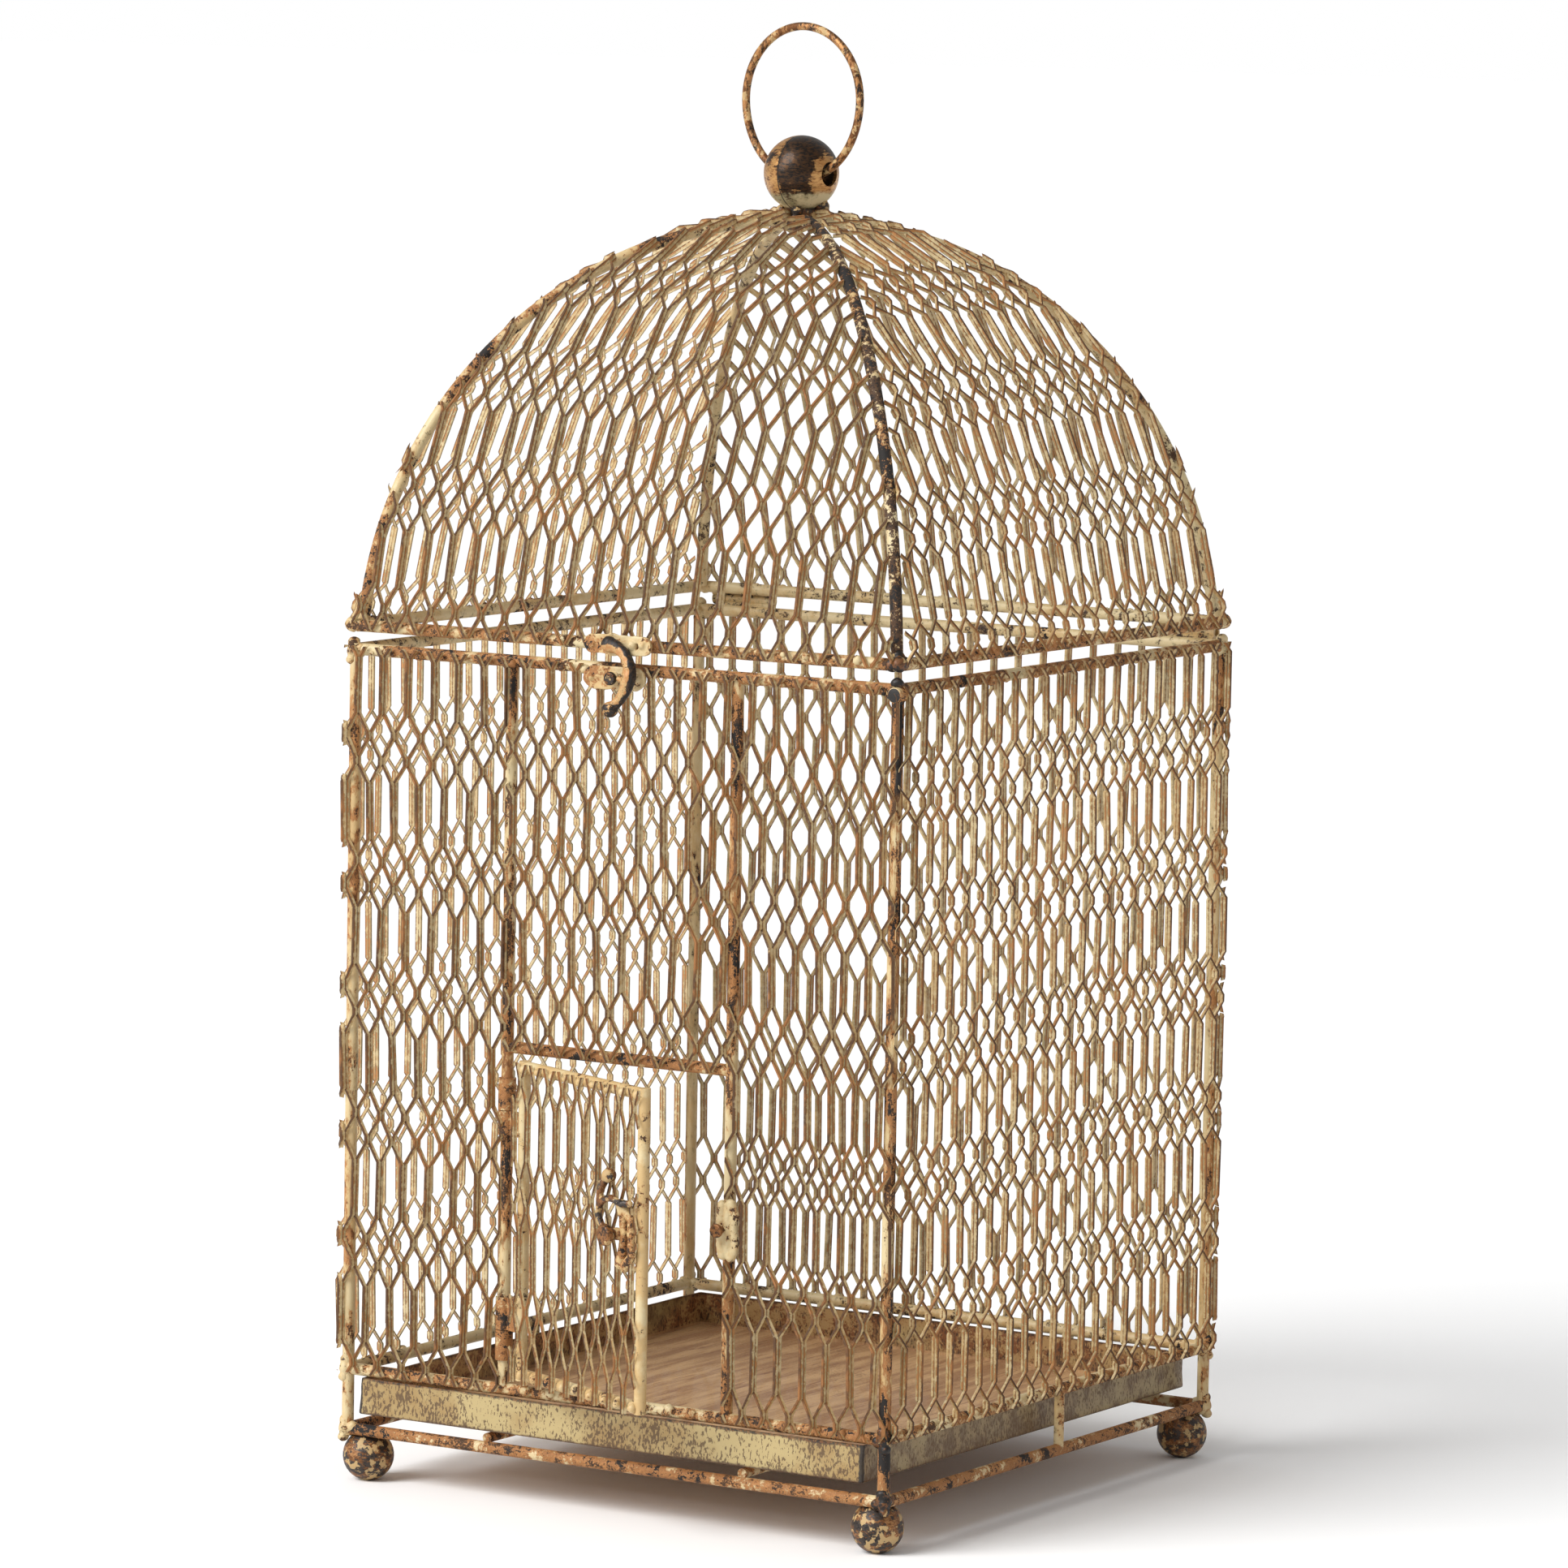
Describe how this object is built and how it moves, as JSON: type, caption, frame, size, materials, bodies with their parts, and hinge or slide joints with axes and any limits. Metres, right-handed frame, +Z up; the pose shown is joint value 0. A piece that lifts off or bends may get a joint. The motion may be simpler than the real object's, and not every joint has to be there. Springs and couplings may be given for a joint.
{
  "type": "wire bird cage",
  "caption": "Square expanded-metal bird cage on ball feet with a domed hinged lid, ring handle, small front door with hook latch, and slide-out tray.",
  "frame": {"origin": "middle of the four ball feet, on the surface they stand on", "axes": "+Z up; front, with the door and the latch, faces -Y; +X is the right-hand side seen from the front"},
  "size_m": [0.2628, 0.3021, 0.5809],
  "materials": {
    "rod_paint": "distressed cream paint with rust edges",
    "mesh_paint": "cream paint over expanded steel, worn to brown at the edges",
    "tray_enamel": "cream with fine brown speckles",
    "ball_paint": "cream rubbed to bare black iron",
    "finial_copper": "coppery gold over black",
    "ring_iron": "dark iron with rust",
    "hook_iron": "dark iron, rubbed",
    "hinge_iron": "rusty paint",
    "plate_paint": "cream paint worn to brown"
  },
  "bodies": {
    "cage": {"ball_feet": "ball_paint", "bottom_rail_back": "rod_paint", "bottom_rail_front": "rod_paint", "bottom_rail_left": "rod_paint", "bottom_rail_right": "rod_paint", "dome_catch_plate": "plate_paint", "dome_catch_stud": "hook_iron", "dome_hinge_tubes": "hinge_iron", "door_catch_pin": "hook_iron", "door_catch_plate": "plate_paint", "door_hinge_collars": "hinge_iron", "door_lintel": "rod_paint", "door_post_left": "rod_paint", "door_post_right": "rod_paint", "foot_rails": "rod_paint", "mesh_back": "mesh_paint", "mesh_front_left": "mesh_paint", "mesh_front_right": "mesh_paint", "mesh_left": "mesh_paint", "mesh_over_door": "mesh_paint", "mesh_right": "mesh_paint", "post_back_left": "rod_paint", "post_back_right": "rod_paint", "post_front_left": "rod_paint", "post_front_right": "rod_paint", "struts": "rod_paint", "top_rail_back": "rod_paint", "top_rail_front": "rod_paint", "top_rail_left": "rod_paint", "top_rail_right": "rod_paint", "tray_supports": "rod_paint"},
    "tray": {"tray": "tray_enamel"},
    "dome": {"dome_rail_front": "rod_paint", "dome_rail_right": "rod_paint", "dome_rail_back": "rod_paint", "dome_rail_left": "rod_paint", "dome_rib_front_left": "rod_paint", "dome_rib_front_right": "rod_paint", "dome_rib_back_right": "rod_paint", "dome_rib_back_left": "rod_paint", "gore_front": "mesh_paint", "gore_right": "mesh_paint", "gore_back": "mesh_paint", "gore_left": "mesh_paint", "crown": "rod_paint", "finial_ball": "finial_copper", "dome_latch_plate": "plate_paint", "dome_latch_rivet": "hook_iron", "dome_hinge_pintles": "hinge_iron"},
    "dome_hook": {"dome_hook": "hook_iron"},
    "ring": {"ring": "ring_iron"},
    "door": {"door_stile_hinge": "rod_paint", "door_stile_free": "rod_paint", "door_rail_bottom": "rod_paint", "door_rail_top": "rod_paint", "door_mesh": "mesh_paint", "door_hinge_loops": "hinge_iron", "door_latch_plate": "plate_paint", "door_latch_rivet": "hook_iron"},
    "door_hook": {"door_hook": "hook_iron"}
  },
  "joints": [
    {"name": "tray_slide", "type": "slide", "parent": "cage", "child": "tray", "axis": [0, -1, 0], "range_m": [0, 0.2]},
    {"name": "dome_hinge", "type": "hinge", "parent": "cage", "child": "dome", "pos_m": [0, 0.1295, 0.3372], "axis": [-1, 0, 0], "range_deg": [0, 95]},
    {"name": "dome_hook_pivot", "type": "hinge", "parent": "dome", "child": "dome_hook", "pos_m": [0.0009, -0.134, 0.3426], "axis": [0, -1, 0], "range_deg": [0, 110]},
    {"name": "ring_swing", "type": "hinge", "parent": "dome", "child": "ring", "pos_m": [0, 0, 0.5216], "axis": [0.9925, -0.1219, 0], "range_deg": [-80, 80]},
    {"name": "door_hinge", "type": "hinge", "parent": "cage", "child": "door", "pos_m": [-0.0505, -0.125, 0.1], "axis": [0, 0, -1], "range_deg": [-22.5, 90]},
    {"name": "door_hook_pivot", "type": "hinge", "parent": "door", "child": "door_hook", "pos_m": [0.02497, -0.16492, 0.1197], "axis": [0.3827, 0.9239, 0], "range_deg": [0, 85]}
  ]
}
